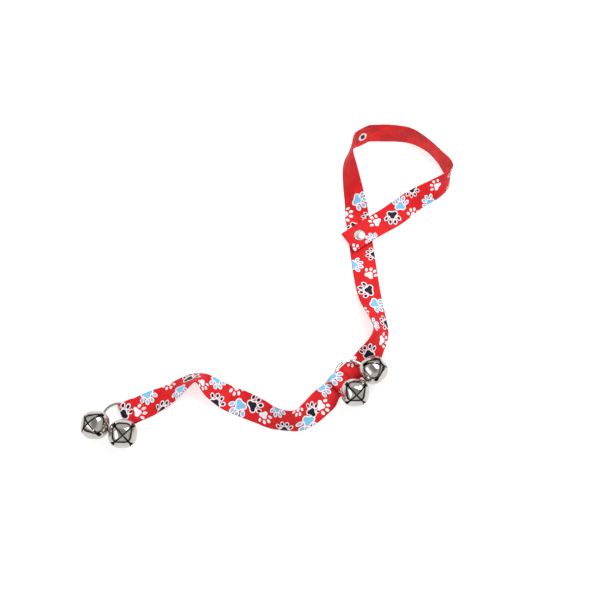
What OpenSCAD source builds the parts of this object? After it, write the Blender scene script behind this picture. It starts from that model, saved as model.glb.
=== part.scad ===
// Bell strap for a door handle: a flat ribbon whose top end snaps back on itself as a
// hanging loop, with two pairs of cross-cut jingle bells on split rings.
// Millimetres. Origin at the bottom centre of the whole part as it lies on a table, +Z up.
// Hand-chosen round numbers: every station of the ribbon is typed in by hand.

/* [Strap] */
// Width of the ribbon
strap_width = 25; // [20:0.5:32]
// Thickness of the ribbon
strap_thickness = 1; // [0.8:0.1:1.6]
// Width of the ribbon where the upper ring gathers it
gathered_width = 20.5; // [18:0.5:25]
// Width of the folded hem at the lower ring
hem_width = 23.5; // [20:0.5:25]

/* [Rings] */
// Radius of a split ring at the middle of its wire
ring_radius = 14.6; // [13:0.1:16]
// Radial width of the ring wire
ring_wire_width = 2.2; // [1.6:0.1:2.6]
// Height of one coil of the ring
ring_coil_height = 1.25; // [1:0.05:1.4]
// Gap between the two coils
ring_coil_gap = 0.1; // [0.05:0.05:0.2]

/* [Bells] */
// Bell size across its flats
bell_diameter = 27; // [24:0.5:30]
// Radius of the rounded corners, as a multiple of the flat radius
bell_corner = 1.05; // [1.02:0.01:1.1]
// Thickness of the bell sheet
bell_sheet = 0.9; // [0.6:0.1:1.4]
// Width of the crossed slots
slot_width = 1.7; // [0.8:0.1:2.4]
// Width of the notch at the end of each slot
slot_notch = 3.4; // [2:0.1:4.5]
// Wire diameter of the bell's eye
eye_wire = 1.5; // [1:0.1:2]
// Radius of the bell's eye at the middle of its wire
eye_radius = 3; // [2.6:0.1:3.6]
// Diameter of the loose steel pellet
pellet_diameter = 7.2; // [5:0.1:9]

/* [Snaps] */
// Diameter of the snap cap
cap_diameter = 12.4; // [10:0.1:15]
// Height of the domed cap
cap_height = 1.7; // [1:0.1:2.5]
// Diameter of the socket and of the stud's flange
snap_flange = 10.4; // [8:0.1:12]
// Diameter of the stud's head
stud_head = 4.4; // [3.6:0.1:5]
// Diameter of the socket's bore
socket_bore = 5.6; // [5:0.1:6.4]

/* [Hidden] */
$fn = 48;

T = strap_thickness;
bell_r = bell_diameter / 2;
eye_to_centre = bell_r + 2.7;
pellet_drop = 7.2;

// Ribbon stations: x, y, height of the low edge's middle, lean of the far edge, width.
// A positive lean lifts the right-hand edge, looking along the ribbon.
lower_route = [
    [-146.8, -139.7, 5.5, 0, hem_width],
    [-142.5, -137.5, 5.6, 0, hem_width],
    [-137.6, -135, 5.4, 0, hem_width],
    [-133.8, -133.2, 1.5, 0, 24],
    [-130.3, -131.4, 1.45, 0, 24.5],
    [-126, -129.2, 0.7, 2, strap_width],
    [-119, -126, 0.5, 8, strap_width],
    [-110, -122.5, 0.5, 20, strap_width],
    [-99, -116, 0.5, 33, strap_width],
    [-90, -109.5, 0.5, 44, strap_width],
    [-82, -105, 0.5, 52, strap_width],
    [-75, -105, 0.5, 52, strap_width],
    [-68, -109.5, 0.5, 38, strap_width],
    [-60, -115.5, 0.5, 22, strap_width],
    [-49, -121.5, 0.5, 4, strap_width],
    [-35, -128, 0.5, -14, strap_width],
    [-17, -137, 0.5, -34, strap_width],
    [-5, -143.5, 0.5, -46, strap_width],
    [9, -147, 0.5, -55, strap_width],
    [21, -146, 0.5, -47, strap_width],
    [32, -138.5, 0.5, -32, strap_width],
    [44, -126, 0.5, -14, strap_width],
    [50, -120.5, 0.5, -3, strap_width],
    [54.5, -116.4, 0.5, 0, strap_width]];
upper_route = [
    [57.4, -110.4, 6.7, 0, gathered_width],
    [61.2, -106.8, 6.8, 0, gathered_width],
    [66.1, -102.1, 6.6, 0, gathered_width],
    [68.4, -99.8, 3.05, 0, gathered_width],
    [70.5, -97.8, 3.05, 0, gathered_width],
    [74.3, -94.2, 0.7, 0, 21],
    [80.2, -89.2, 0.5, -2, 22],
    [87.2, -84, 0.5, -14, 24],
    [95, -74.5, 0.5, -42, strap_width],
    [101, -63, 0.5, -50, strap_width],
    [102.3, -53, 0.5, -48, strap_width],
    [99.8, -42, 0.5, -42, strap_width],
    [96, -29.5, 0.5, -29, strap_width],
    [93, -16, 0.5, -14, strap_width],
    [90.5, 1, 0.5, -4, strap_width],
    [88.5, 19, 0.5, 0, strap_width],
    [86.5, 38, 0.9, 0, strap_width],
    [85, 52, 0.9, 0, strap_width],
    [83.6, 66, 0.9, 1, strap_width],
    [82.3, 76, 0.6, 9, strap_width],
    [81, 88, 0.5, 30, strap_width],
    [78, 108, 0.5, 44, strap_width],
    [75.5, 127, 0.5, 56, strap_width],
    [74.5, 140, 0.5, 68, strap_width],
    [76, 149.5, 0.5, 78, strap_width],
    [78.5, 157.3, 0.5, 88, strap_width],
    [82.3, 163.4, 0.5, 97, strap_width],
    [85.3, 165.2, 0.5, 101, strap_width],
    [90, 168, 0.5, 102, strap_width],
    [94.7, 170.8, 0.5, 102, strap_width],
    [98, 172.2, 0.5, 102, strap_width],
    [115, 172.5, 0.5, 103, strap_width],
    [131, 171.5, 0.5, 100, strap_width],
    [143, 168.5, 0.5, 96, strap_width],
    [154, 162, 0.5, 90, strap_width],
    [165, 152, 0.5, 87, strap_width],
    [174, 140, 0.5, 92, strap_width],
    [180, 130.5, 0.5, 99, strap_width],
    [183, 122, 0.5, 92, strap_width],
    [179, 114, 0.5, 73, strap_width],
    [166.5, 104.5, 0.5, 56, strap_width],
    [145, 92.5, 0.5, 44, strap_width],
    [121.5, 76, 2.6, 14, strap_width],
    [108, 67.5, 4.2, 3, strap_width],
    [96, 60, 5, 0, strap_width],
    [84.5, 52, 5.1, 0, strap_width],
    [72, 43.5, 5.1, 0, strap_width]];
// The strap's last fixed station before the tail that peels off the stud
tail_station = 43;

// Where the strap folds round each ring, and the heading of the ribbon there
crease = [57, -114];
crease_heading = 44;
gather_shift = 2.25;
hem = [-149.5, -141];
hem_heading = 26.6;
upper_ring_at = [71.2, -100, 4.7];
lower_ring_at = [-153.2, -143, 3.3];
snap_at = [84.5, 52, 0];
spare_at = [90, 168, 12.7];

// Bells: ring centre, angle of the eye on the ring, heading and tilt of the bell, spin of its slots
bells = [
    [lower_ring_at, -146, -160, 19, 64],
    [lower_ring_at, -64, -60, 22, 58],
    [upper_ring_at, -79, -85, 27, 84],
    [upper_ring_at, -6, 18, 27, 22]];

// Position on a route, by station number, as a smooth curve through the stations
function pick(r, i) = i < 0 ? 2 * r[0] - r[1]
    : i >= len(r) ? 2 * r[len(r) - 1] - r[len(r) - 2] : r[i];
function curve(a, b, c, d, t) = 0.5 * (2 * b + (c - a) * t
    + (2 * a - 5 * b + 4 * c - d) * t * t + (3 * b - a - 3 * c + d) * t * t * t);
function on(r, u) = let (i = min(floor(u), len(r) - 2))
    curve(pick(r, i - 1), pick(r, i), pick(r, i + 1), pick(r, i + 2), u - i);
function unit(v) = v / norm(v);
function middle(r, u) = let (s = on(r, u))
    [s[0], s[1], s[2] + s[4] / 2 * abs(sin(s[3]))];
function along(r, u) = unit(middle(r, u + 0.02) - middle(r, u - 0.02));
function across(r, u) = let (t = along(r, u), h = unit([t[1], -t[0], 0]), a = on(r, u)[3],
    w = cos(a) * h + sin(a) * [0, 0, 1]) unit(w - (w * t) * t);
function corners(r, u) = let (c = middle(r, u), w = across(r, u) * on(r, u)[4] / 2,
    n = cross(across(r, u), along(r, u)) * T / 2) [c - w - n, c + w - n, c + w + n, c - w + n];

// One length of ribbon between two places on a route, n steps long
module ribbon(r, u0, u1, n) {
    pts = [for (k = [0 : n]) each corners(r, u0 + (u1 - u0) * k / n)];
    sides = [for (k = [0 : n - 1], j = [0 : 3]) each
        let (a = 4 * k + j, b = 4 * k + (j + 1) % 4)
        [[a, b, b + 4], [a, b + 4, a + 4]]];
    ends = [[2, 1, 0], [3, 2, 0], [4 * n, 4 * n + 1, 4 * n + 2], [4 * n, 4 * n + 2, 4 * n + 3]];
    polyhedron(points = pts, faces = concat(sides, ends), convexity = 12);
}

// The round nose where a layer turns back under itself: axis height, mean radius, width
module nose(height, radius, width) {
    translate([0, 0, height])
        rotate([90, 0, 0])
            difference() {
                cylinder(r = radius + T / 2, h = width, center = true);
                cylinder(r = radius - T / 2, h = width + 2, center = true);
                translate([0, -radius * 2, -width])
                    cube([radius * 3, radius * 4, width * 2]);
            }
}

// A flat layer in a fold, from one distance to another along the ribbon
module layer(from, to, height, width) {
    translate([from, -width / 2, height - T / 2])
        cube([to - from, width, T]);
}

module at_crease() {
    translate([crease[0], crease[1], 0])
        rotate([0, 0, crease_heading])
            translate([0, gather_shift, 0])
                children();
}

module at_hem() {
    translate([hem[0], hem[1], 0])
        rotate([0, 0, hem_heading])
            children();
}

module at_snap() {
    translate(snap_at)
        children();
}

// The spare snap stands on edge in the loop, its stud facing outwards
module at_spare() {
    translate(spare_at)
        rotate([0, 102, 120.5])
            children();
}

module at_bell(i) {
    b = bells[i];
    translate(b[0])
        rotate([0, 0, b[1]])
            translate([ring_radius, 0, 0])
                rotate([0, 0, b[2] - b[1]])
                    rotate([0, b[3], 0])
                        children();
}

// A row of short stitches across the ribbon
module stitches(distance, height, width, count) {
    for (k = [0 : count - 1])
        translate([distance, -width / 2 + 1.2 + (width - 2.4) * (k + 0.5) / count, height])
            rotate([90, 0, 0])
                cylinder(r = 0.28, h = (width - 2.4) / count * 0.72, center = true, $fn = 16);
}

module strap_webbing() {
    color([0.78, 0.1, 0.12])
        difference() {
            union() {
                ribbon(upper_route, 0, tail_station - 0.02, 172);
                at_crease() {
                    translate([2.8, 0, 0])
                        nose(4.4, 2.3, gathered_width);
                    layer(2.7, 20, 2.1, gathered_width);
                    translate([20, 0, 0])
                        rotate([0, 0, 180])
                            nose(1.3, 0.8, gathered_width);
                    layer(-2.9, 20, 0.5, gathered_width);
                }
            }
            at_snap()
                translate([0, 0, -1])
                    cylinder(r = 2, h = 4);
            at_spare()
                cylinder(r = 2, h = 6, center = true);
        }
}

module strap_lower() {
    color([0.78, 0.1, 0.12])
        union() {
            ribbon(lower_route, 0, 23, 92);
            at_hem() {
                translate([2.95, 0, 0])
                    nose(3, 2.5, hem_width);
                layer(2.85, 21, 0.5, hem_width);
            }
        }
}

module strap_tail() {
    color([0.78, 0.1, 0.12])
        difference() {
            ribbon(upper_route, tail_station + 0.02, 46, 12);
            at_snap()
                translate([0, 0, 3])
                    cylinder(r = 2, h = 5);
        }
}

module pleat_stitching() {
    color([0.62, 0.06, 0.08])
        at_crease() {
            stitches(18.6, 3.85, gathered_width, 8);
            stitches(20.4, 3.8, gathered_width, 8);
        }
}

module hem_stitching() {
    color([0.62, 0.06, 0.08])
        at_hem() {
            stitches(19.4, 2.35, hem_width, 9);
            stitches(21.2, 2.3, hem_width, 9);
        }
}

// Domed cap on the face of the tail, its rivet through the ribbon
module snap_cap() {
    color([0.86, 0.86, 0.87])
        at_snap()
            translate([0, 0, 5.7])
                union() {
                    intersection() {
                        cylinder(r = cap_diameter / 2, h = cap_height);
                        translate([0, 0, cap_height - 14])
                            sphere(r = 14, $fn = 180);
                    }
                    translate([0, 0, -1])
                        cylinder(r = 1.9, h = 1.2);
                }
}

// Socket behind the tail, open downwards to take the stud
module snap_socket() {
    color([0.75, 0.75, 0.77])
        at_snap()
            difference() {
                union() {
                    translate([0, 0, 3.4])
                        cylinder(r = snap_flange / 2, h = 1.2);
                    translate([0, 0, 2.3])
                        cylinder(r = snap_flange / 2 - 0.9, h = 1.2);
                }
                translate([0, 0, 2])
                    cylinder(r = socket_bore / 2, h = 2.2);
            }
}

// Stud: flange, neck and rounded head. Drawn standing on z = 0
module stud() {
    union() {
        cylinder(r = snap_flange / 2, h = 0.5);
        cylinder(r = stud_head / 2 - 0.25, h = 1.6);
        translate([0, 0, 1.2])
            cylinder(r = stud_head / 2, h = 0.5);
        translate([0, 0, 1.7])
            cylinder(r1 = stud_head / 2, r2 = stud_head / 2 - 0.6, h = 0.5);
    }
}

// Eyelet on the back: flat ring with a tube through the ribbon. Drawn hanging from z = 0
module eyelet() {
    difference() {
        union() {
            translate([0, 0, -0.4])
                cylinder(r = snap_flange / 2, h = 0.4);
            cylinder(r = 1.9, h = T);
        }
        translate([0, 0, -1])
            cylinder(r = 1.3, h = T + 2);
    }
}

module snap_stud() {
    color([0.75, 0.75, 0.77])
        at_snap()
            translate([0, 0, 1.52])
                stud();
}

module snap_eyelet() {
    color([0.75, 0.75, 0.77])
        at_snap()
            translate([0, 0, 0.4])
                eyelet();
}

module spare_stud() {
    color([0.75, 0.75, 0.77])
        at_spare()
            translate([0, 0, T / 2 + 0.15])
                stud();
}

module spare_eyelet() {
    color([0.75, 0.75, 0.77])
        at_spare()
            translate([0, 0, -T / 2 - 0.1])
                eyelet();
}

// Split ring: two flat coils with a short sloping step between them
module split_ring() {
    pitch = ring_coil_height + ring_coil_gap;
    n = 96;
    a = ring_wire_width / 2;
    pts = [for (k = [0 : n]) each
        let (deg = 8 + 704 * k / n, s = min(1, max(0, (deg - 340) / 40)),
            z = (s * s * (3 - 2 * s) - 0.5) * pitch,
            c = [cos(deg), sin(deg)])
        [for (q = [[-a, -1], [a, -1], [a, 1], [-a, 1]])
            [c[0] * (ring_radius + q[0]), c[1] * (ring_radius + q[0]),
                z + q[1] * ring_coil_height / 2]]];
    sides = [for (k = [0 : n - 1], j = [0 : 3]) each
        let (p = 4 * k + j, r = 4 * k + (j + 1) % 4)
        [[p, r + 4, r], [p, p + 4, r + 4]]];
    ends = [[0, 1, 2], [0, 2, 3], [4 * n + 2, 4 * n + 1, 4 * n], [4 * n + 3, 4 * n + 2, 4 * n]];
    polyhedron(points = pts, faces = concat(sides, ends), convexity = 8);
}

module upper_ring() {
    color([0.8, 0.8, 0.82])
        translate(upper_ring_at)
            rotate([0, 0, 100])
                split_ring();
}

module lower_ring() {
    color([0.8, 0.8, 0.82])
        translate(lower_ring_at)
            rotate([0, 0, 60])
                split_ring();
}

// A ball flattened on four sides, as bent from a cross-shaped blank
module bell_body(r) {
    intersection() {
        sphere(r = r * bell_corner);
        rotate([90, 0, 0])
            cylinder(r = r, h = 4 * r, center = true);
        rotate([0, 90, 0])
            cylinder(r = r, h = 4 * r, center = true);
    }
}

// Bell shell with crossed slots, their end notches and two holes for the eye wire
module bell_shell(spin) {
    translate([0, 0, eye_to_centre])
        difference() {
            rotate([0, 0, spin])
                difference() {
                    bell_body(bell_r);
                    bell_body(bell_r - bell_sheet);
                    for (q = [45, 135])
                        rotate([0, 0, q]) {
                            translate([-bell_r * 1.08, -slot_width / 2, bell_r * 0.24])
                                cube([bell_r * 2.16, slot_width, bell_r]);
                            for (m = [0, 1])
                                rotate([0, 0, 180 * m])
                                    translate([bell_r * 0.82, -slot_notch / 2, bell_r * 0.24])
                                        cube([bell_r * 0.3, slot_notch, bell_r * 0.3]);
                        }
                }
            for (m = [-1, 1])
                translate([m * eye_radius, 0, -bell_r - 1])
                    cylinder(r = eye_wire / 2 + 0.05, h = 4);
        }
}

// Wire eye: a half loop below, two legs into the bell and clinched ends inside
module bell_eye() {
    union() {
        rotate([-90, 0, 0])
            rotate_extrude(angle = 180)
                translate([eye_radius, 0])
                    circle(r = eye_wire / 2, $fn = 24);
        for (m = [-1, 1])
            translate([m * eye_radius, 0, 0]) {
                translate([0, 0, -0.3])
                    cylinder(r = eye_wire / 2 - 0.03, h = 5.7, $fn = 24);
                translate([0, 0, 4.6])
                    cylinder(r = 1.15, h = 0.9, $fn = 24);
            }
    }
}

module bell_pellet() {
    translate([0, 0, eye_to_centre - pellet_drop])
        sphere(r = pellet_diameter / 2);
}

module shell_colour() {
    color([0.72, 0.71, 0.69])
        children();
}

module eye_colour() {
    color([0.66, 0.66, 0.66])
        children();
}

module pellet_colour() {
    color([0.35, 0.35, 0.36])
        children();
}

module bell_1_shell() {
    shell_colour()
        at_bell(0)
            bell_shell(bells[0][4]);
}

module bell_1_eye() {
    eye_colour()
        at_bell(0)
            bell_eye();
}

module bell_1_pellet() {
    pellet_colour()
        at_bell(0)
            bell_pellet();
}

module bell_2_shell() {
    shell_colour()
        at_bell(1)
            bell_shell(bells[1][4]);
}

module bell_2_eye() {
    eye_colour()
        at_bell(1)
            bell_eye();
}

module bell_2_pellet() {
    pellet_colour()
        at_bell(1)
            bell_pellet();
}

module bell_3_shell() {
    shell_colour()
        at_bell(2)
            bell_shell(bells[2][4]);
}

module bell_3_eye() {
    eye_colour()
        at_bell(2)
            bell_eye();
}

module bell_3_pellet() {
    pellet_colour()
        at_bell(2)
            bell_pellet();
}

module bell_4_shell() {
    shell_colour()
        at_bell(3)
            bell_shell(bells[3][4]);
}

module bell_4_eye() {
    eye_colour()
        at_bell(3)
            bell_eye();
}

module bell_4_pellet() {
    pellet_colour()
        at_bell(3)
            bell_pellet();
}

strap_webbing();
strap_lower();
strap_tail();
pleat_stitching();
hem_stitching();
snap_cap();
snap_socket();
snap_stud();
snap_eyelet();
spare_stud();
spare_eyelet();
upper_ring();
lower_ring();
bell_1_shell();
bell_1_eye();
bell_1_pellet();
bell_2_shell();
bell_2_eye();
bell_2_pellet();
bell_3_shell();
bell_3_eye();
bell_3_pellet();
bell_4_shell();
bell_4_eye();
bell_4_pellet();
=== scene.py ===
import math
import random
import bpy
import numpy as np
from mathutils import Matrix, Vector


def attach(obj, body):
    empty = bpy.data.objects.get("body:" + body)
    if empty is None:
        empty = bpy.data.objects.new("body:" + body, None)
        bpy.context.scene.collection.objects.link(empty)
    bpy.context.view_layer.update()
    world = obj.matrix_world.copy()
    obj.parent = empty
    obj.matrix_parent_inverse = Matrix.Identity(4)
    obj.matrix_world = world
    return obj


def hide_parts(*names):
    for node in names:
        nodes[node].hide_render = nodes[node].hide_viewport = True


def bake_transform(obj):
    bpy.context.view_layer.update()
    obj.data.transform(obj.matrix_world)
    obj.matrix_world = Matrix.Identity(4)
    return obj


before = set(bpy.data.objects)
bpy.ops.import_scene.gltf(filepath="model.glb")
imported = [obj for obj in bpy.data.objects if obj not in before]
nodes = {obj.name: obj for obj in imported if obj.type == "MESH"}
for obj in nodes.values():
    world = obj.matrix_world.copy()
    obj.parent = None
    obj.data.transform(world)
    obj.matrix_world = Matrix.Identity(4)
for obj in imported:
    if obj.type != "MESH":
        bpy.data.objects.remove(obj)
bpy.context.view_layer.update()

MM = 0.001
rad = math.radians


# ---------------------------------------------------------------- camera, floor and light
scene = bpy.context.scene
scene.view_settings.view_transform = "Standard"
scene.view_settings.look = "None"
cam_data = bpy.data.cameras.new("camera")
cam_data.lens = 50
cam_data.sensor_width = 36
cam_data.clip_start = 0.01
cam = bpy.data.objects.new("camera", cam_data)
cam.location = (0.022, -0.3374, 0.7881)
cam.rotation_euler = (rad(22), 0, 0)
scene.collection.objects.link(cam)
scene.camera = cam

world = bpy.data.worlds.new("studio")
scene.world = world
world.use_nodes = True
# a soft white ceiling over a darker horizon, so that plated metal has something to show
wt = world.node_tree
sky = wt.nodes["Background"]
sky.inputs["Strength"].default_value = 0.72
split = wt.nodes.new("ShaderNodeSeparateXYZ")
wt.links.new(wt.nodes.new("ShaderNodeTexCoord").outputs["Generated"], split.inputs[0])
ramp = wt.nodes.new("ShaderNodeValToRGB")
wt.links.new(split.outputs["Z"], ramp.inputs["Fac"])
wt.links.new(ramp.outputs["Color"], sky.inputs["Color"])
stops = ramp.color_ramp.elements
stops[0].position, stops[0].color = 0.0, (0.05, 0.05, 0.05, 1)
stops[1].position, stops[1].color = 1.0, (0.5, 0.5, 0.5, 1)
for place, level in ((0.26, 0.04), (0.36, 0.95), (0.60, 1.15), (0.84, 1.1), (0.93, 0.55)):
    stop = stops.new(place)
    stop.color = (level, level, level, 1)


def area_light(name, place, target, size, power):
    data = bpy.data.lights.new(name, "AREA")
    data.shape = "RECTANGLE"
    data.size, data.size_y = size
    data.energy = power
    lamp = bpy.data.objects.new(name, data)
    lamp.location = place
    lamp.rotation_euler = (Vector(target) - Vector(place)).to_track_quat("-Z", "Y").to_euler()
    scene.collection.objects.link(lamp)


area_light("key", (0.50, 0.30, 1.0), (0.02, 0, 0), (0.6, 0.6), 9.5)
area_light("fill", (-0.9, -0.6, 0.9), (0, 0, 0), (0.9, 0.5), 3.0)


def mesh_object(name, verts, faces, smooth=True):
    mesh = bpy.data.meshes.new(name)
    mesh.from_pydata([tuple(v) for v in verts], [], faces)
    mesh.update()
    if smooth:
        mesh.polygons.foreach_set("use_smooth", [True] * len(mesh.polygons))
    obj = bpy.data.objects.new(name, mesh)
    scene.collection.objects.link(obj)
    return obj


# ---------------------------------------------------------------- materials
class Nodes:
    """Short helper for building node trees."""

    def __init__(self, name):
        self.mat = bpy.data.materials.new(name)
        self.mat.use_nodes = True
        self.tree = self.mat.node_tree
        self.bsdf = self.tree.nodes["Principled BSDF"]

    def node(self, kind, **settings):
        n = self.tree.nodes.new(kind)
        for k, v in settings.items():
            setattr(n, k, v)
        return n

    def link(self, a, b):
        self.tree.links.new(a, b)

    def put(self, socket, value):
        if hasattr(value, "is_output"):
            self.link(value, socket)
        elif value is not None:
            socket.default_value = value

    def math(self, op, a, b=None, c=None, clamp=False):
        n = self.node("ShaderNodeMath", operation=op, use_clamp=clamp)
        self.put(n.inputs[0], a)
        self.put(n.inputs[1], b)
        self.put(n.inputs[2], c)
        return n.outputs[0]

    def vec(self, op, a, b=None):
        n = self.node("ShaderNodeVectorMath", operation=op)
        self.put(n.inputs[0], a)
        self.put(n.inputs[1], b)
        return n.outputs["Value"] if op in ("LENGTH", "DISTANCE") else n.outputs["Vector"]

    def ramp(self, value, lo, hi, out_lo=0.0, out_hi=1.0):
        n = self.node("ShaderNodeMapRange", interpolation_type="SMOOTHSTEP")
        self.put(n.inputs["Value"], value)
        n.inputs["From Min"].default_value = lo
        n.inputs["From Max"].default_value = hi
        n.inputs["To Min"].default_value = out_lo
        n.inputs["To Max"].default_value = out_hi
        return n.outputs["Result"]

    def mix(self, factor, a, b):
        n = self.node("ShaderNodeMix", data_type="RGBA")
        self.put(n.inputs["Factor"], factor)
        self.put(n.inputs["A"], a)
        self.put(n.inputs["B"], b)
        return n.outputs["Result"]

    def noise(self, vector, scale, detail=3.0, rough=0.5):
        n = self.node("ShaderNodeTexNoise")
        self.put(n.inputs["Vector"], vector)
        n.inputs["Scale"].default_value = scale
        n.inputs["Detail"].default_value = detail
        n.inputs["Roughness"].default_value = rough
        return n.outputs["Fac"]

    def bump(self, height, strength, distance):
        n = self.node("ShaderNodeBump")
        n.inputs["Strength"].default_value = strength
        n.inputs["Distance"].default_value = distance
        self.put(n.inputs["Height"], height)
        self.link(n.outputs["Normal"], self.bsdf.inputs["Normal"])


RED = (0.72, 0.010, 0.013, 1)
RED_DEEP = (0.60, 0.006, 0.010, 1)
RED_BACK = (0.80, 0.026, 0.026, 1)
GHOST = (0.46, 0.012, 0.016, 1)
WHITE_INK = (0.88, 0.86, 0.90, 1)
BLUE_INK = (0.19, 0.54, 0.78, 1)
NAVY_INK = (0.006, 0.007, 0.020, 1)


def paw_distance(m, p):
    """Distance in mm to a paw whose toes point along +Y from a pad at the origin."""
    flat = m.vec("MULTIPLY", p, (1, 1, 0))
    lobes = []
    for x, y, r in ((0, 1.6, 1.9), (-2.6, -1.5, 1.85), (2.6, -1.5, 1.85), (0, -0.2, 2.7)):
        lobes.append(m.math("SUBTRACT", m.vec("DISTANCE", flat, (x, y, 0)), r))
    pad = lobes[0]
    for other in lobes[1:]:
        pad = m.math("SMOOTH_MIN", pad, other, 1.2)
    d = pad
    for x, y, rx, ry, turn in (
        (-2.2, 6.4, 1.2, 1.75, 6), (2.2, 6.4, 1.2, 1.75, -6),
        (-5.7, 3.1, 1.15, 1.7, 34), (5.7, 3.1, 1.15, 1.7, -34),
    ):
        turned = m.node("ShaderNodeVectorRotate", rotation_type="Z_AXIS")
        m.link(m.vec("SUBTRACT", flat, (x, y, 0)), turned.inputs["Vector"])
        turned.inputs["Angle"].default_value = rad(-turn)
        scaled = m.vec("MULTIPLY", turned.outputs["Vector"], (1 / rx, 1 / ry, 0))
        toe = m.math("MULTIPLY", m.math("SUBTRACT", m.vec("LENGTH", scaled), 1.0), (rx + ry) / 2)
        d = m.math("MINIMUM", d, toe)
    return d


def ribbon_material(name, face):
    m = Nodes(name)
    uv = {}
    for layer in ("print", "ink", "cloth"):
        uv[layer] = m.node("ShaderNodeUVMap", uv_map=layer).outputs["UV"]
    p = m.vec("MULTIPLY", uv["print"], (100, 100, 0))
    ink = m.node("ShaderNodeSeparateXYZ")
    m.link(uv["ink"], ink.inputs[0])
    kind = m.math("MULTIPLY", ink.outputs["X"], 10.0)
    cloth = m.vec("MULTIPLY", uv["cloth"], (1000, 1000, 0))
    st = m.node("ShaderNodeSeparateXYZ")
    m.link(cloth, st.inputs[0])
    d = paw_distance(m, p)
    wobble = m.noise(cloth, 1.3, 2.0)
    d = m.math("ADD", d, m.math("MULTIPLY", m.math("SUBTRACT", wobble, 0.5), 0.25))
    coloured = m.math("MINIMUM", kind, 1.0, clamp=True)
    rim = m.math("ADD", 0.25, m.math("MULTIPLY", coloured, 0.65))
    outer = m.ramp(m.math("SUBTRACT", d, rim), -0.12, 0.12, 1.0, 0.0)
    core = m.math("MULTIPLY", m.ramp(d, -0.12, 0.12, 1.0, 0.0), coloured)
    # warp ribs run along the ribbon, and weft picks cross them
    warp = m.math("SINE", m.math("MULTIPLY", st.outputs["Y"], 2 * math.pi / 0.55))
    weft = m.math("SINE", m.math("MULTIPLY", st.outputs["X"], 2 * math.pi / 0.42))
    weave = m.math("MULTIPLY", warp, weft)
    tone = m.noise(cloth, 0.09, 3.0)
    edge = m.ramp(m.math("ABSOLUTE", st.outputs["Y"]), 11.2, 12.3)
    if face:
        red = m.mix(m.ramp(tone, 0.3, 0.7), RED, RED_DEEP)
        red = m.mix(m.math("MULTIPLY", edge, 0.25), red, RED_DEEP)
        inked = m.mix(m.math("SUBTRACT", kind, 1.0, clamp=True), BLUE_INK, NAVY_INK)
        print_colour = m.mix(core, WHITE_INK, inked)
        colour = m.mix(outer, red, print_colour)
    else:
        red = m.mix(m.ramp(tone, 0.3, 0.7), RED_BACK, RED)
        dark = m.math("MULTIPLY", outer, m.math("ADD", 0.35, m.math("MULTIPLY", coloured, 0.6)))
        colour = m.mix(m.math("MULTIPLY", dark, m.ramp(wobble, 0.2, 0.8, 0.5, 1.0)), red, GHOST)
    fibre = m.ramp(weave, -1.0, 1.0, 0.90, 1.06)
    shade = m.node("ShaderNodeHueSaturation")
    m.link(colour, shade.inputs["Color"])
    m.link(fibre, shade.inputs["Value"])
    m.link(shade.outputs["Color"], m.bsdf.inputs["Base Color"])
    rough = m.math("ADD", 0.50, m.math("MULTIPLY", m.noise(cloth, 0.8, 3.0), 0.16))
    rough = m.math("SUBTRACT", rough, m.math("MULTIPLY", outer, 0.06))
    m.link(rough, m.bsdf.inputs["Roughness"])
    m.bsdf.inputs["Specular IOR Level"].default_value = 0.18
    m.bsdf.inputs["Sheen Weight"].default_value = 0.03
    m.bsdf.inputs["Sheen Roughness"].default_value = 0.45
    height = m.math("ADD", weave, m.math("MULTIPLY", m.noise(cloth, 5.0, 2.0), 0.7))
    height = m.math("SUBTRACT", height, m.math("MULTIPLY", edge, 0.9))
    m.bump(height, 0.35, 0.00006)
    return m.mat


def metal_material(name, base, low, high, scratches=0.5, tint=None):
    """Plated metal: soft cloudy tarnish, fine scratches and uneven gloss."""
    m = Nodes(name)
    at = m.node("ShaderNodeTexCoord").outputs["Object"]
    cloud = m.noise(at, 90.0, 4.0, 0.6)
    fine = m.noise(at, 1400.0, 3.0, 0.7)
    stretched = m.vec("MULTIPLY", at, (3000, 260, 900))
    lines = m.noise(stretched, 1.0, 2.0, 0.6)
    colour = m.mix(m.ramp(cloud, 0.35, 0.75), base, tint or tuple(c * 0.82 for c in base[:3]) + (1,))
    m.link(colour, m.bsdf.inputs["Base Color"])
    m.bsdf.inputs["Metallic"].default_value = 1.0
    rough = m.ramp(cloud, 0.25, 0.8, low, high)
    rough = m.math("ADD", rough, m.math("MULTIPLY", m.ramp(lines, 0.55, 0.8), 0.10 * scratches))
    m.link(rough, m.bsdf.inputs["Roughness"])
    height = m.math("ADD", m.math("MULTIPLY", lines, 0.6), m.math("MULTIPLY", fine, 0.4))
    m.bump(height, 0.06 * scratches, 0.00005)
    return m.mat


def thread_material():
    m = Nodes("sewing_thread")
    at = m.node("ShaderNodeTexCoord").outputs["Object"]
    wave = m.node("ShaderNodeTexWave")
    m.link(at, wave.inputs["Vector"])
    wave.inputs["Scale"].default_value = 900.0
    wave.inputs["Distortion"].default_value = 1.5
    thread_red = m.mix(wave.outputs["Fac"], (0.40, 0.006, 0.012, 1), (0.62, 0.02, 0.03, 1))
    m.link(thread_red, m.bsdf.inputs["Base Color"])
    m.bsdf.inputs["Roughness"].default_value = 0.55
    m.bsdf.inputs["Sheen Weight"].default_value = 0.2
    m.bump(wave.outputs["Fac"], 0.5, 0.0001)
    return m.mat


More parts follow.
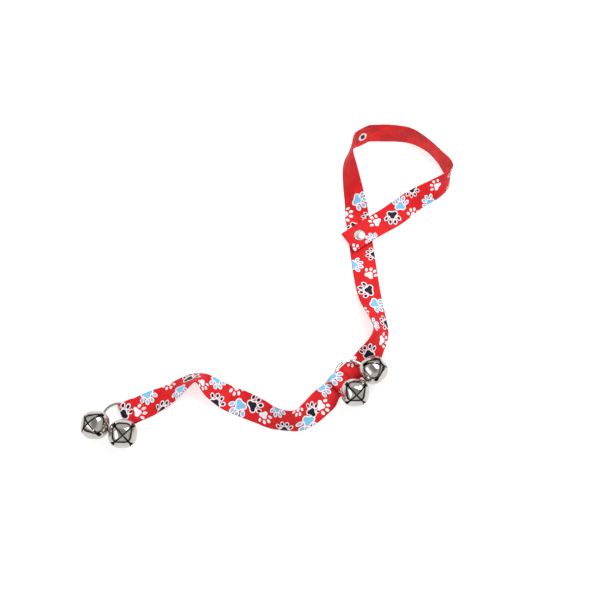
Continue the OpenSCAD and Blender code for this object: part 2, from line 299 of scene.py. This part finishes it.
def floor_material():
    m = Nodes("paper_floor")
    at = m.node("ShaderNodeTexCoord").outputs["Object"]
    grain = m.noise(at, 400.0, 2.0)
    m.link(m.mix(grain, (0.46, 0.46, 0.46, 1), (0.49, 0.49, 0.49, 1)), m.bsdf.inputs["Base Color"])
    m.bsdf.inputs["Roughness"].default_value = 0.9
    m.bsdf.inputs["Emission Color"].default_value = (1, 1, 1, 1)
    m.bsdf.inputs["Emission Strength"].default_value = 0.68
    m.bsdf.inputs["Specular IOR Level"].default_value = 0.1
    return m.mat


face_cloth = ribbon_material("ribbon_face", True)
back_cloth = ribbon_material("ribbon_back", False)
nickel = metal_material("bell_nickel", (0.54, 0.505, 0.47, 1), 0.06, 0.14, 0.5)
ring_metal = metal_material("ring_nickel", (0.58, 0.565, 0.55, 1), 0.10, 0.22, 1.0)
wire_metal = metal_material("eye_wire_nickel", (0.60, 0.58, 0.55, 1), 0.18, 0.34, 1.0)
cap_metal = metal_material("snap_bright", (0.95, 0.94, 0.935, 1), 0.14, 0.24, 0.3)
snap_metal = metal_material("snap_pressed", (0.72, 0.71, 0.70, 1), 0.20, 0.36, 1.0)
steel = metal_material("pellet_steel", (0.30, 0.30, 0.31, 1), 0.30, 0.50, 1.5)
# painted shade: near-black finish for the flat disc across each eyelet's hole, standing in for the shadow inside the
# tube
painted_shade_metal = metal_material("eyelet_painted_shade", (0.035, 0.03, 0.028, 1), 0.35, 0.55, 1.0)
thread = thread_material()

FLOOR_HALF = 3
FLOOR_Z = -0.0003
floor_corners = [(x * FLOOR_HALF, y * FLOOR_HALF, FLOOR_Z) for x, y in ((-1, -1), (1, -1), (1, 1), (-1, 1))]
floor = mesh_object("floor", floor_corners, [(0, 1, 2, 3)])
floor.data.materials.append(floor_material())

# ---------------------------------------------------------------- ribbon route, in mm, as in the CAD source
LOWER = [
    (-146.8, -139.7, 5.5, 0, 23.5), (-142.5, -137.5, 5.6, 0, 23.5), (-137.6, -135, 5.4, 0, 23.5),
    (-133.8, -133.2, 1.5, 0, 24), (-130.3, -131.4, 1.45, 0, 24.5), (-126, -129.2, 0.7, 2, 25),
    (-119, -126, 0.5, 8, 25), (-110, -122.5, 0.5, 20, 25), (-99, -116, 0.5, 33, 25),
    (-90, -109.5, 0.5, 44, 25), (-82, -105, 0.5, 52, 25), (-75, -105, 0.5, 52, 25),
    (-68, -109.5, 0.5, 38, 25), (-60, -115.5, 0.5, 22, 25), (-49, -121.5, 0.5, 4, 25),
    (-35, -128, 0.5, -14, 25), (-17, -137, 0.5, -34, 25), (-5, -143.5, 0.5, -46, 25),
    (9, -147, 0.5, -55, 25), (21, -146, 0.5, -47, 25), (32, -138.5, 0.5, -32, 25), (44, -126, 0.5, -14, 25),
    (50, -120.5, 0.5, -3, 25), (54.5, -116.4, 0.5, 0, 25),
]
UPPER = [
    (57.4, -110.4, 6.7, 0, 20.5), (61.2, -106.8, 6.8, 0, 20.5), (66.1, -102.1, 6.6, 0, 20.5),
    (68.4, -99.8, 3.05, 0, 20.5), (70.5, -97.8, 3.05, 0, 20.5), (74.3, -94.2, 0.7, 0, 21),
    (80.2, -89.2, 0.5, -2, 22), (87.2, -84, 0.5, -14, 24), (95, -74.5, 0.5, -42, 25),
    (101, -63, 0.5, -50, 25), (102.3, -53, 0.5, -48, 25), (99.8, -42, 0.5, -42, 25),
    (96, -29.5, 0.5, -29, 25), (93, -16, 0.5, -14, 25), (90.5, 1, 0.5, -4, 25), (88.5, 19, 0.5, 0, 25),
    (86.5, 38, 0.9, 0, 25), (85, 52, 0.9, 0, 25), (83.6, 66, 0.9, 1, 25), (82.3, 76, 0.6, 9, 25),
    (81, 88, 0.5, 30, 25), (78, 108, 0.5, 44, 25), (75.5, 127, 0.5, 56, 25), (74.5, 140, 0.5, 68, 25),
    (76, 149.5, 0.5, 78, 25), (78.5, 157.3, 0.5, 88, 25), (82.3, 163.4, 0.5, 97, 25),
    (85.3, 165.2, 0.5, 101, 25), (90, 168, 0.5, 102, 25), (94.7, 170.8, 0.5, 102, 25),
    (98, 172.2, 0.5, 102, 25), (115, 172.5, 0.5, 103, 25), (131, 171.5, 0.5, 100, 25),
    (143, 168.5, 0.5, 96, 25), (154, 162, 0.5, 90, 25), (165, 152, 0.5, 87, 25), (174, 140, 0.5, 92, 25),
    (180, 130.5, 0.5, 99, 25), (183, 122, 0.5, 92, 25), (179, 114, 0.5, 73, 25),
    (166.5, 104.5, 0.5, 56, 25), (145, 92.5, 0.5, 44, 25), (121.5, 76, 2.6, 14, 25),
    (108, 67.5, 4.2, 3, 25), (96, 60, 5, 0, 25), (84.5, 52, 5.1, 0, 25), (72, 43.5, 5.1, 0, 25),
]
# paw prints: station, distance across, direction of the toes, ink, size
PAWS_LOWER = [
    (22.2, -10.5, 60, "b", 1.10), (20.7, 2.0, 55, "w", 1.10), (19.6, 5.5, 125, "b", 1.15),
    (20.1, 0.0, -30, "n", 1.00), (19.1, -13.0, 100, "w", 1.05), (17.9, 11.0, -90, "n", 0.95),
    (17.3, -12.0, 80, "b", 1.00), (16.4, 1.5, 50, "w", 1.00), (15.6, -2.5, -45, "n", 1.15),
    (15.0, 2.5, 110, "b", 1.20), (14.3, -13.5, 65, "w", 1.10), (13.5, 11.0, -85, "n", 1.00),
    (12.6, -10.5, 55, "b", 1.05), (11.5, 5.0, 30, "w", 0.95), (9.6, -2.5, -60, "n", 1.05),
    (8.4, 5.0, 115, "b", 1.05), (7.8, -13.0, 110, "w", 1.00), (6.6, 13.0, -60, "n", 1.00),
    (5.5, -9.5, 90, "b", 1.00), (2.5, 3.0, 10, "w", 1.10), (-0.1, -1.0, -50, "n", 1.10),
]
PAWS_UPPER = [
    (38.7, -17.0, 65, "n", 1.00), (39.9, 2.5, 55, "w", 1.00), (40.5, -11.0, 60, "b", 1.00),
    (41.0, 12.0, -80, "n", 0.85), (41.4, -13.0, 115, "w", 1.00), (41.6, 4.0, 125, "b", 1.05),
    (42.1, 0.5, -60, "n", 1.05), (43.3, 3.0, 55, "w", 1.00), (44.4, -13.5, 80, "b", 0.95),
    (46.0, -11.0, 140, "w", 0.90), (20.2, 3.0, 120, "b", 1.15), (19.3, -13.0, 95, "w", 1.10),
    (18.7, 12.5, -95, "n", 0.80), (17.9, -4.0, -155, "n", 0.95), (15.6, 11.5, -80, "n", 0.85),
    (15.1, -10.0, 95, "b", 0.95), (14.4, 4.0, 40, "w", 1.00), (13.4, 0.0, -85, "n", 1.15),
    (12.3, 3.0, 125, "b", 1.15), (11.6, -17.0, 80, "w", 0.95), (10.2, -12.0, 90, "b", 0.95),
    (10.6, 10.0, -80, "n", 0.90), (8.9, 4.0, 65, "w", 1.00), (7.5, -2.0, -50, "n", 1.05),
    (5.8, -9.5, 140, "w", 0.90), (0.6, -9.5, 50, "b", 1.10), (-0.3, 14.0, -130, "n", 0.90),
    (25.6, -4.5, 110, "b", 1.1), (26.6, 9.5, -85, "n", 0.95), (29.6, -8.5, 60, "w", 1.05),
    (30.3, 6.0, 120, "b", 1.1), (31.05, -6.0, -60, "n", 1.1), (31.7, 8.0, 45, "w", 1.0),
    (32.2, -8.0, 115, "b", 1.1), (32.75, 5.5, -80, "n", 1.1), (33.4, -7.0, 60, "w", 1.05),
    (34.05, 6.5, 125, "b", 1.1), (34.8, -7.5, -60, "n", 1.05), (35.6, 7.5, 50, "w", 1.0),
    (36.5, -6.5, 115, "b", 1.05), (37.8, 8.0, -80, "n", 1.05),
]


def pick(r, i):
    if i < 0:
        return 2 * np.array(r[0], float) - np.array(r[1], float)
    if i >= len(r):
        return 2 * np.array(r[-1], float) - np.array(r[-2], float)
    return np.array(r[i], float)


def on(r, u):
    i = min(int(math.floor(u)), len(r) - 2)
    t = u - i
    a, b, c, d = (pick(r, i + k) for k in (-1, 0, 1, 2))
    square = (2 * a - 5 * b + 4 * c - d) * t * t
    cube = (3 * b - a - 3 * c + d) * t ** 3
    return 0.5 * (2 * b + (c - a) * t + square + cube)


def middle(r, u):
    s = on(r, u)
    return np.array([s[0], s[1], s[2] + s[4] / 2 * abs(math.sin(rad(s[3])))])


def unit(v):
    return v / np.linalg.norm(v)


def station(r, u):
    """Centre, direction, across and width at a place on a route."""
    t = unit(middle(r, u + 0.02) - middle(r, u - 0.02))
    h = unit(np.array([t[1], -t[0], 0.0]))
    lean = rad(on(r, u)[3])
    w = math.cos(lean) * h + math.sin(lean) * np.array([0, 0, 1.0])
    w = unit(w - np.dot(w, t) * t)
    return middle(r, u), t, w, on(r, u)[4]


def local_station(origin, heading, shift, along, height, slope, width):
    """The same, in a fold's own plane. slope is the way it travels, in degrees from +L towards +Z."""
    c, s = math.cos(rad(heading)), math.sin(rad(heading))
    lx, ly = np.array([c, s, 0.0]), np.array([-s, c, 0.0])
    place = np.array([origin[0], origin[1], 0.0]) + lx * along + ly * shift + np.array([0, 0, height])
    t = lx * math.cos(rad(slope)) + np.array([0, 0, 1.0]) * math.sin(rad(slope))
    return place, t, -ly, width


CREASE, HEM = ((57, -114), 44, 2.25), ((-149.5, -141), 26.6, 0)
GATHERED, HEM_WIDTH = 20.5, 23.5


def nose(fold, along, height, radius, start, end, width, n=14):
    """Stations round a half turn; start and end are angles in the plane of L and Z."""
    out = []
    sign = 1 if end > start else -1
    for k in range(n + 1):
        a = start + (end - start) * k / n
        x = along + radius * math.cos(rad(a))
        z = height + radius * math.sin(rad(a))
        out.append(local_station(*fold, x, z, a + 90 * sign, width))
    return out


def stretch(r, u0, u1, step=1.3):
    """Stations along a route about step mm apart, with their station numbers."""
    out, u = [], u0
    while u < u1 - 1e-6:
        out.append((u, station(r, u)))
        speed = np.linalg.norm(middle(r, u + 0.01) - middle(r, u - 0.01)) / 0.02
        u += step / max(speed, 1)
    out.append((u1, station(r, u1)))
    return out


def arc_table(r):
    us = np.arange(-1.2, len(r) + 0.2, 0.05)
    pts = np.array([middle(r, u) for u in us])
    steps = np.linalg.norm(np.diff(pts, axis=0), axis=1)
    return us, np.concatenate([[0], np.cumsum(steps)])


def ease(x):
    x = min(1.0, max(0.0, x))
    return x * x * (3 - 2 * x)


def ribbon(name, stations, paws, r, thick=0.9, cells=16):
    """A closed strip through the stations, with its printed side, back and rounded edges."""
    verts, lengths, marks = [], [], []
    total = 0.0
    last = None
    rng = random.Random(7)
    phase = [rng.uniform(0, 6.28) for _ in range(4)]
    for u, (c, t, w, width) in stations:
        if last is not None:
            total += float(np.linalg.norm(c - last))
        last = c
        lengths.append(total)
        marks.append(u)
        n = np.cross(w, t)
        half = width / 2
        row = []
        for j in range(cells + 1):
            v = -half + 0.22 + (width - 0.44) * j / cells
            ripple = 0.05 * math.sin(total * 0.31 + phase[0] + v * 0.22) * math.sin(v * 0.4 + phase[1])
            row.append((c + w * v + n * (thick / 2 + ripple), v))
        row.append((c + w * half, half))
        for j in range(cells + 1):
            v = half - 0.22 - (width - 0.44) * j / cells
            ripple = 0.05 * math.sin(total * 0.31 + phase[0] + v * 0.22) * math.sin(v * 0.4 + phase[1])
            row.append((c + w * v - n * (thick / 2 - ripple), v))
        row.append((c - w * half, -half))
        verts.append(row)
    ring = len(verts[0])
    pts = [p * MM for row in verts for p, v in row]
    faces, info = [], []
    for k in range(len(verts) - 1):
        for j in range(ring):
            a, b = k * ring + j, k * ring + (j + 1) % ring
            faces.append((a, a + ring, b + ring, b))
            info.append((k, j))
    faces.append(tuple(range(ring)))
    faces.append(tuple(reversed(range((len(verts) - 1) * ring, len(verts) * ring))))
    obj = mesh_object(name, pts, faces)
    mesh = obj.data
    mesh.materials.append(face_cloth)
    mesh.materials.append(back_cloth)
    placed = []
    us, arc = arc_table(r)
    first = next(k for k, m in enumerate(marks) if m is not None)
    shift = float(np.interp(marks[first], us, arc)) - lengths[first]
    lengths = [l + shift for l in lengths]
    for u, v, turn, ink, size in paws:
        s = float(np.interp(u, us, arc))
        if lengths[0] - 14 < s < lengths[-1] + 14:
            size = size * (1.0 if ink == "w" else 1.08)
            placed.append((s, v, rad(turn), {"w": 0.0, "b": 1.0, "n": 2.0}[ink], size))
    layers = {n: mesh.uv_layers.new(name=n) for n in ("print", "ink", "cloth")}
    for poly in mesh.polygons:
        if poly.index >= len(info):
            for li in poly.loop_indices:
                layers["print"].data[li].uv = (0.5, 0.5)
            continue
        k, j = info[poly.index]
        poly.material_index = 0 if j <= cells else 1
        s_mid = (lengths[k] + lengths[k + 1]) / 2
        v_mid = (verts[k][j][1] + verts[k][(j + 1) % ring][1]) / 2
        best, near = None, 1e9
        for p in placed:
            cs, cv = p[0] + 2 * p[4] * math.cos(p[2]), p[1] + 2 * p[4] * math.sin(p[2])
            d = math.hypot(s_mid - cs, v_mid - cv) / p[4]
            if d < near:
                best, near = p, d
        for li, vi in zip(poly.loop_indices, poly.vertices):
            kk, jj = divmod(vi, ring)
            s, v = lengths[kk], verts[kk][jj][1]
            layers["cloth"].data[li].uv = (s / 1000, v / 1000)
            ds, dv = (s - best[0]) / best[4], (v - best[1]) / best[4]
            ca, sa = math.cos(best[2]), math.sin(best[2])
            # +Y of the print is the toes' direction
            layers["print"].data[li].uv = ((ds * sa - dv * ca) / 100, (ds * ca + dv * sa) / 100)
            layers["ink"].data[li].uv = (best[3] / 10, 0)
    return obj, total


def plain(items):
    return [(None, s) for s in items]


# lower length: hem's under layer, hem fold, route, then the pleat's under layer
lower = plain([local_station(*HEM, 21 - 18.05 * k / 14, 0.5, 180, HEM_WIDTH) for k in range(14)])
lower += plain(nose(HEM, 2.95, 3.0, 2.5, 270, 90, HEM_WIDTH))
for u, (c, t, w, width) in stretch(LOWER, 0.25, 23.0):
    f = ease((u - 21.2) / 2.2)
    lower.append((u, (c - w * CREASE[2] * f, t, w, width + (GATHERED - width) * f)))
lower += plain([local_station(*CREASE, -2.2 + 22.2 * k / 17, 0.5, 0, GATHERED) for k in range(18)])
ribbon_lower, lower_length = ribbon("ribbon_lower", lower, PAWS_LOWER, LOWER)

upper = plain(nose(CREASE, 20, 1.3, 0.8, -90, 90, GATHERED, 8))
upper += plain([local_station(*CREASE, 19 - 15.2 * k / 12, 2.1, 180, GATHERED) for k in range(13)])
upper += plain(nose(CREASE, 2.8, 4.4, 2.3, 270, 90, GATHERED))
upper += stretch(UPPER, 0.25, 40.5)
ribbon_upper, upper_length = ribbon("ribbon_upper", upper, PAWS_UPPER, UPPER)

tail = stretch(UPPER, 40.5, 46.0, 1.0)
ribbon_tail, tail_length = ribbon("ribbon_tail", tail, PAWS_UPPER, UPPER)

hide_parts("strap_lower")
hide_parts("strap_webbing")
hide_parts("strap_tail")
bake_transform(ribbon_lower)
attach(ribbon_upper, "strap")
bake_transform(ribbon_tail)


# ---------------------------------------------------------------- sewing
def stitch_row(name, r, u_list, count, width, body, node):
    verts, faces = [], []
    for u in u_list:
        c, t, w, _ = station(r, u)
        n = np.cross(w, t)
        span = (width - 2.4) / count
        for k in range(count):
            mid = -width / 2 + 1.2 + span * (k + 0.5)
            base = len(verts)
            for i in range(9):
                x = (i / 8 - 0.5) * span * 0.8
                lift = 0.42 + 0.22 * math.cos((i / 8 - 0.5) * math.pi)
                thin = 0.24 * math.sqrt(max(0.05, 1 - (2 * i / 8 - 1) ** 6))
                for j in range(8):
                    a = 2 * math.pi * j / 8
                    up = n * (lift + thin * math.sin(a))
                    verts.append((c + w * (mid + x) + up + t * thin * math.cos(a)) * MM)
            for i in range(8):
                for j in range(8):
                    a, b = base + i * 8 + j, base + i * 8 + (j + 1) % 8
                    faces.append((a, b, b + 8, a + 8))
            faces.append(tuple(base + j for j in reversed(range(8))))
            faces.append(tuple(base + 64 + j for j in range(8)))
    obj = mesh_object(name, verts, faces)
    obj.data.materials.append(thread)
    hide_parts(node)
    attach(obj, body)
    return obj


stitch_row("hem_stitch_row", LOWER, (4.05, 4.4), 12, HEM_WIDTH, "lower_strap", "hem_stitching")
stitch_row("pleat_stitch_row", UPPER, (3.35, 3.75), 11, GATHERED, "strap", "pleat_stitching")


# ---------------------------------------------------------------- rings
def split_ring(name, centre, turn, body, node):
    """Two coils of flattened wire with a stepped crossover and rounded ends."""
    R, a, h, pitch = 14.6, 1.1, 0.625, 1.35
    verts, faces = [], []
    steps, sides = 260, 16
    for k in range(steps + 1):
        deg = 8 + 704 * k / steps
        s = ease((deg - 340) / 40)
        z = (s - 0.5) * pitch
        end = min(1.0, 0.35 + 0.65 * math.sqrt(min(k, steps - k) / 4.0))
        d = rad(deg + turn)
        out = np.array([math.cos(d), math.sin(d), 0])
        for j in range(sides):
            q = 2 * math.pi * j / sides
            cx, sx = math.cos(q), math.sin(q)
            x = a * math.copysign(abs(cx) ** 0.55, cx) * end
            y = h * math.copysign(abs(sx) ** 0.55, sx) * end
            verts.append((np.array(centre) + out * (R + x) + np.array([0, 0, z + y])) * MM)
    for k in range(steps):
        for j in range(sides):
            p, q = k * sides + j, k * sides + (j + 1) % sides
            faces.append((p, q, q + sides, p + sides))
    faces.append(tuple(reversed(range(sides))))
    faces.append(tuple(range(steps * sides, (steps + 1) * sides)))
    obj = mesh_object(name, verts, faces)
    obj.data.materials.append(ring_metal)
    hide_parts(node)
    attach(obj, body)


LOW_RING, UP_RING = (-153.2, -143, 3.3), (71.2, -100, 4.7)
split_ring("split_ring_lower", LOW_RING, 60, "lower_ring", "lower_ring")
split_ring("split_ring_upper", UP_RING, 100, "upper_ring", "upper_ring")


# ---------------------------------------------------------------- bells
BELL_R = 13.5


def body_radius(d, r):
    """Outer surface along a unit direction: a ball flattened by two crossed cylinders, with soft edges."""
    x, y, z = d
    p = 26.0
    a = math.hypot(y, z) / r
    b = math.hypot(x, z) / r
    c = 1 / (r * 1.045)
    return (a ** p + b ** p + c ** p) ** (-1 / p)


def slot_half(theta):
    """Half the slot's width, by angle from the pole in degrees."""
    if theta >= 77:
        return 0.0
    wide = 0.80 + 1.0 * ease((theta - 42) / 22)
    return wide * math.sqrt(max(0.0, 1 - max(0.0, (theta - 71) / 6) ** 2))


def bell_mesh():
    rows = [3.2, 5, 8, 12, 16, 21, 26, 31, 36, 41, 45, 48, 51, 54, 57, 60, 63, 66, 69]
    rows += [71, 72.5, 74, 75.2, 76.2, 76.8, 77]
    rows += [79, 82, 85, 88, 92, 97, 102, 108, 115, 122, 130, 138, 146, 154, 162, 168, 173, 177]
    across = 26
    verts, faces = [], []
    for petal in range(4):
        base = len(verts)
        for theta in rows:
            th = rad(theta)
            rho = BELL_R * math.sin(th)
            h = slot_half(theta)
            half = rad(45) - (math.asin(min(0.999, h / max(rho, 0.01))) if h > 0 else 0)
            half = max(half, rad(2))
            for i in range(across + 1):
                e = 2 * i / across - 1
                phi = petal * math.pi / 2 + e * half
                d = (math.sin(th) * math.cos(phi), math.sin(th) * math.sin(phi), math.cos(th))
                verts.append(np.array(d) * body_radius(d, BELL_R) * MM)
        for k in range(len(rows) - 1):
            for i in range(across):
                a = base + k * (across + 1) + i
                b = a + across + 1
                faces.append((a, b, b + 1, a + 1))
    obj = mesh_object("bell_pattern", verts, faces)
    import bmesh
    bm = bmesh.new()
    bm.from_mesh(obj.data)
    bmesh.ops.remove_doubles(bm, verts=bm.verts, dist=0.00003)
    holes = [e for e in bm.edges if e.is_boundary and all(v.co.z < -BELL_R * 0.9 * MM for v in e.verts)]
    if holes:
        bmesh.ops.holes_fill(bm, edges=holes)
    bmesh.ops.recalc_face_normals(bm, faces=bm.faces)
    bm.to_mesh(obj.data)
    bm.free()
    thick = obj.modifiers.new("sheet", "SOLIDIFY")
    thick.thickness = 0.9 * MM
    thick.offset = -1
    thick.use_even_offset = False
    bevel = obj.modifiers.new("edge", "BEVEL")
    bevel.width = 0.2 * MM
    bevel.segments = 3
    bevel.angle_limit = rad(55)
    bevel.harden_normals = False
    bpy.context.view_layer.update()
    graph = bpy.context.evaluated_depsgraph_get()
    done = bpy.data.meshes.new_from_object(obj.evaluated_get(graph))
    done.polygons.foreach_set("use_smooth", [True] * len(done.polygons))
    bpy.data.objects.remove(obj)
    done.materials.clear()
    done.materials.append(nickel)
    return done


shell = bell_mesh()
BELLS = [
    (LOW_RING, -146, -160, 19, 64),
    (LOW_RING, -64, -60, 22, 58),
    (UP_RING, -79, -85, 27, 84),
    (UP_RING, -6, 18, 27, 22),
]
for i, (centre, at, heading, tilt, spin) in enumerate(BELLS):
    name = "bell_%d" % (i + 1)
    obj = bpy.data.objects.new(name + "_body", shell.copy())
    scene.collection.objects.link(obj)
    around = Matrix.Rotation(rad(at), 4, "Z") @ Matrix.Translation((14.6 * MM, 0, 0))
    place = Matrix.Translation(Vector(centre) * MM) @ around
    place = place @ Matrix.Rotation(rad(heading - at), 4, "Z") @ Matrix.Rotation(rad(tilt), 4, "Y")
    place = place @ Matrix.Translation((0, 0, (BELL_R + 2.7) * MM)) @ Matrix.Rotation(rad(spin), 4, "Z")
    obj.data.transform(place)
    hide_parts(name + "_shell")
    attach(obj, name)


# ---------------------------------------------------------------- snap cap
def lathe(name, profile, centre, steps=72):
    verts, faces = [], []
    for r, z in profile:
        for k in range(steps):
            a = 2 * math.pi * k / steps
            verts.append((np.array(centre) + np.array([r * math.cos(a), r * math.sin(a), z])) * MM)
    for i in range(len(profile) - 1):
        for k in range(steps):
            a, b = i * steps + k, i * steps + (k + 1) % steps
            faces.append((a, a + steps, b + steps, b))
    return mesh_object(name, verts, faces)


cap = lathe("snap_cap_dome", [
    (0.02, 1.66), (1.2, 1.64), (2.4, 1.55), (3.6, 1.38), (4.6, 1.12), (5.3, 0.84), (5.75, 0.62), (6.0, 0.48),
    (6.15, 0.32), (6.18, 0.18), (6.1, 0.06), (5.9, 0.0), (5.2, 0.02), (1.9, 0.02), (1.88, -0.95), (0.02, -0.97)],
    (84.5, 52, 5.7))
cap.data.materials.append(cap_metal)
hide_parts("snap_cap")
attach(cap, "tail")



def eyelet(name, place, node):
    """A rolled ring with a flat near-black disc of painted shade across its tube, seen on the back of the ribbon."""
    ring = [(5.15, 0.0), (5.22, 0.14), (5.1, 0.30), (4.7, 0.40), (4.0, 0.42), (3.4, 0.38), (3.0, 0.26), (2.75, 0.06)]
    # flat inner disc of painted shade, closing the hole where the tube's shadow would be
    shade_disc = [(2.75, 0.06), (2.6, 0.02), (1.6, 0.0), (0.8, 0.04), (0.02, 0.05)]
    obj = lathe(name, ring + shade_disc[1:], (0, 0, 0))
    obj.data.materials.append(snap_metal)
    obj.data.materials.append(painted_shade_metal)
    # the inner disc takes the painted-shade finish, the rolled ring the pressed metal
    for poly in obj.data.polygons:
        poly.material_index = 1 if poly.center.xy.length < 2.72 * MM else 0
    obj.data.transform(place)
    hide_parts(node)
    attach(obj, "strap")


turn = Matrix.Rotation(rad(120.5), 4, "Z") @ Matrix.Rotation(rad(102), 4, "Y")
eyelet("spare_eyelet_ring", Matrix.Translation((0.090, 0.168, 0.0127)) @ turn
       @ Matrix.Translation((0, 0, -0.00052)) @ Matrix.Rotation(math.pi, 4, "X"), "spare_eyelet")
snap_underside = Matrix.Translation((0.0845, 0.052, 0.00042)) @ Matrix.Rotation(math.pi, 4, "X")
eyelet("snap_eyelet_ring", snap_underside, "snap_eyelet")

# ---------------------------------------------------------------- carried-over nodes
for name, node in nodes.items():
    finish = None
    if name.endswith("_eye"):
        finish = wire_metal
    elif name.endswith("_pellet"):
        finish = steel
    elif name.startswith(("snap_", "spare_")):
        finish = snap_metal
    if finish:
        for slot in node.material_slots:
            slot.material = finish
